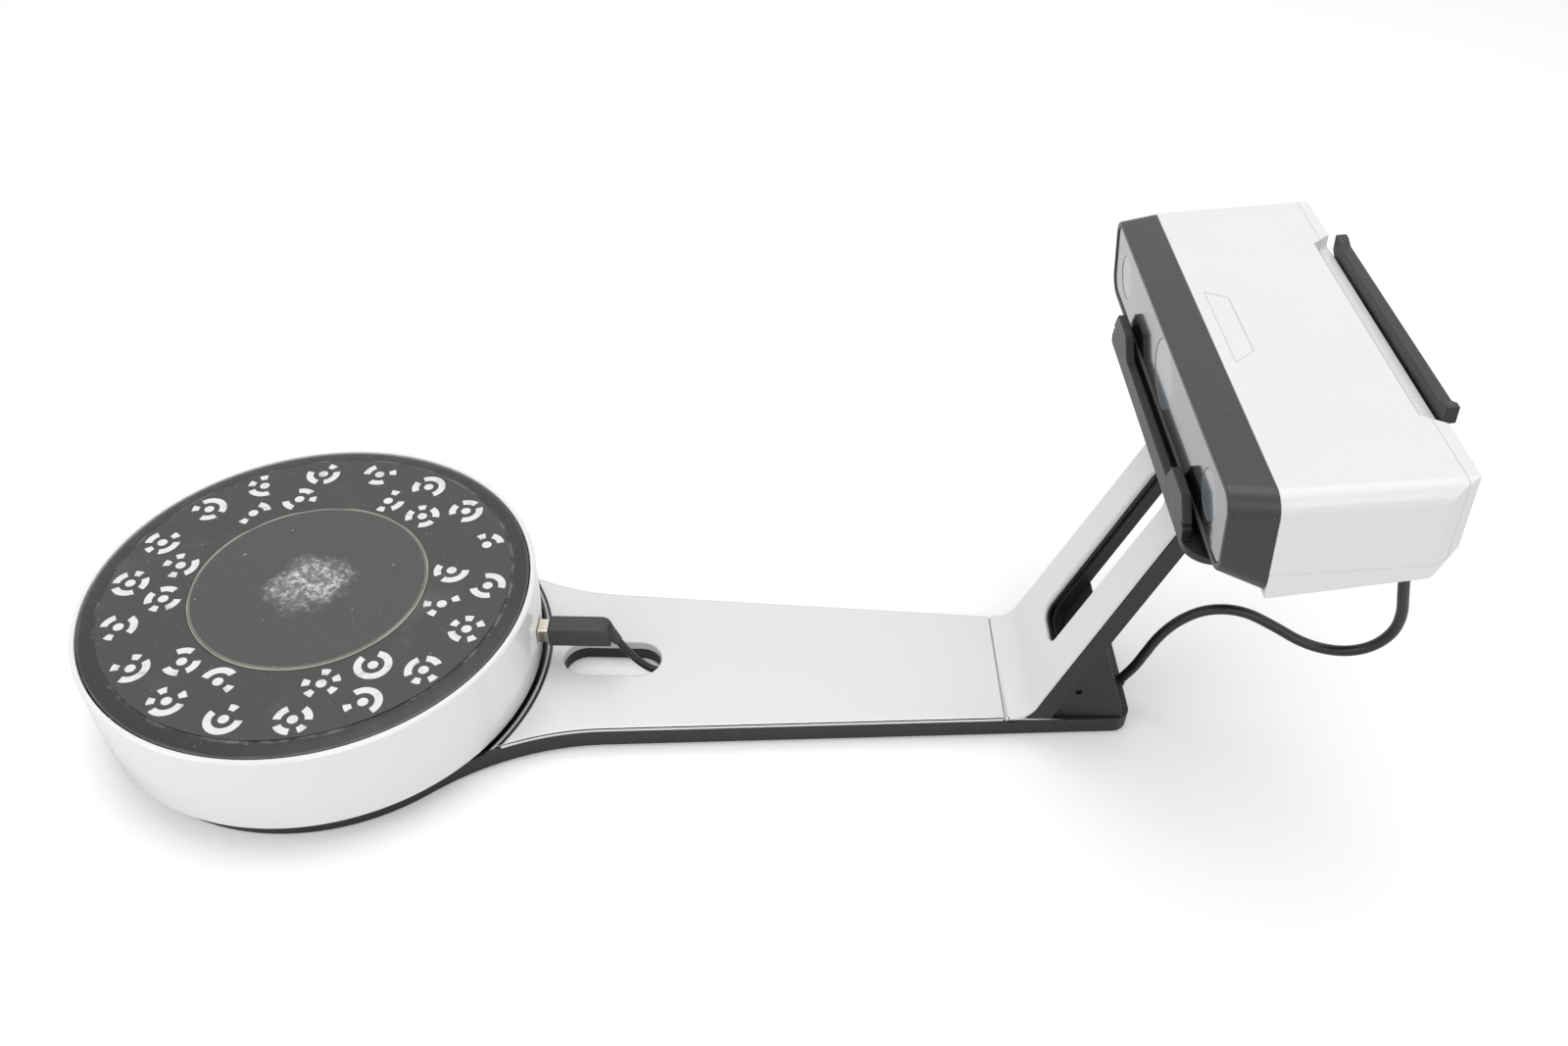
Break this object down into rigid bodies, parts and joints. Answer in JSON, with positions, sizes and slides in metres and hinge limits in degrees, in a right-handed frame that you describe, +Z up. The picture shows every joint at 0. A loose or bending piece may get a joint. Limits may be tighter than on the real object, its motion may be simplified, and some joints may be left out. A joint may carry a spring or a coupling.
{
  "type": "desktop 3d scanner",
  "caption": "Desktop turntable scanner: round motor turntable with marker ring on a long white base whose slotted arm holds a scanning head in a cradle.",
  "frame": {"origin": "on the table, under the middle of the object's length and width", "axes": "+X runs along the base from the turntable to the scanning head, +Z up, +Y across"},
  "size_m": [0.5928, 0.21, 0.22],
  "materials": {
    "acetal": "natural acetal",
    "aluminium_parts": "machined",
    "bearing_steel": "ground steel",
    "black_plastic": "fine textured black plastic",
    "bracket_steel": "zinc plated sheet",
    "button_grey": "satin grey",
    "circuit_board": "green solder mask",
    "gloss_black": "polished black",
    "lead_black": "satin flexible sheath",
    "lens_black": "black anodised look",
    "motor_finish": "black and silver",
    "moulded_internal": "plain moulding",
    "plated_steel": "nickel plated",
    "platter_black": "matt black moulding",
    "soft_rubber": "matt rubber",
    "target_film": "printed film",
    "white_plastic": "satin painted white plastic",
    "window_glass": "dark coated glass"
  },
  "bodies": {
    "base": {"arm_cover": "white_plastic", "arm_heel": "black_plastic", "arm_rear_shell": "black_plastic", "arm_stiffener": "bracket_steel", "base_cover": "white_plastic", "base_screws": "plated_steel", "base_shell": "black_plastic", "bearing_balls": "bearing_steel", "bearing_outer_rings": "bearing_steel", "board_standoffs": "aluminium_parts", "button_board": "circuit_board", "button_switch": "moulded_internal", "camera_bodies": "lens_black", "camera_lens_barrels": "lens_black", "camera_windows": "window_glass", "cradle": "black_plastic", "cradle_pads": "soft_rubber", "cradle_screws": "plated_steel", "dock_ring": "black_plastic", "drum_shell": "white_plastic", "front_bezel": "black_plastic", "front_panel": "gloss_black", "head_bottom_shell": "white_plastic", "head_top_shell": "white_plastic", "inner_lead_run": "lead_black", "lead_grommet": "lead_black", "main_board": "circuit_board", "motor_bracket": "bracket_steel", "motor_screws": "plated_steel", "optical_bench": "aluminium_parts", "power_jack": "moulded_internal", "projector_engine": "aluminium_parts", "projector_lens_barrel": "lens_black", "projector_window": "window_glass", "rear_cover": "white_plastic", "rubber_feet": "soft_rubber", "scanner_lead": "lead_black", "scanner_plug": "lead_black", "scanner_strain_relief": "lead_black", "spindle_housing": "moulded_internal", "stepper_motor": "motor_finish", "turntable_board": "circuit_board", "turntable_lead": "lead_black", "turntable_pan": "moulded_internal", "turntable_plug": "lead_black", "turntable_plug_tongue": "plated_steel", "turntable_socket": "plated_steel", "turntable_strain_relief": "lead_black", "usb_port": "plated_steel"},
    "platter": {"platter": "platter_black", "target_sheet": "target_film", "centre_pad": "soft_rubber", "spindle": "aluminium_parts", "spindle_screws": "plated_steel", "drive_gear": "acetal", "bearing_inner_rings": "bearing_steel"},
    "pinion": {"pinion": "acetal", "motor_shaft": "bearing_steel"},
    "power_button": {"power_button": "button_grey"}
  },
  "joints": [
    {"name": "platter_spin", "type": "hinge", "parent": "base", "child": "platter", "pos_m": [-0.18, 0, 0.05], "axis": [0, 0, 1], "continuous": true},
    {"name": "pinion_spin", "type": "hinge", "parent": "base", "child": "pinion", "pos_m": [-0.22055, 0, 0.045], "axis": [0, 0, 1], "continuous": true},
    {"name": "button_press", "type": "slide", "parent": "base", "child": "power_button", "axis": [-0.9936, 0, -0.1132], "range_m": [0, 0.0012], "stiffness_N_per_m": 600}
  ],
  "couplings": [
    {"joint": "pinion_spin", "follows": "platter_spin", "ratio": -4}
  ]
}
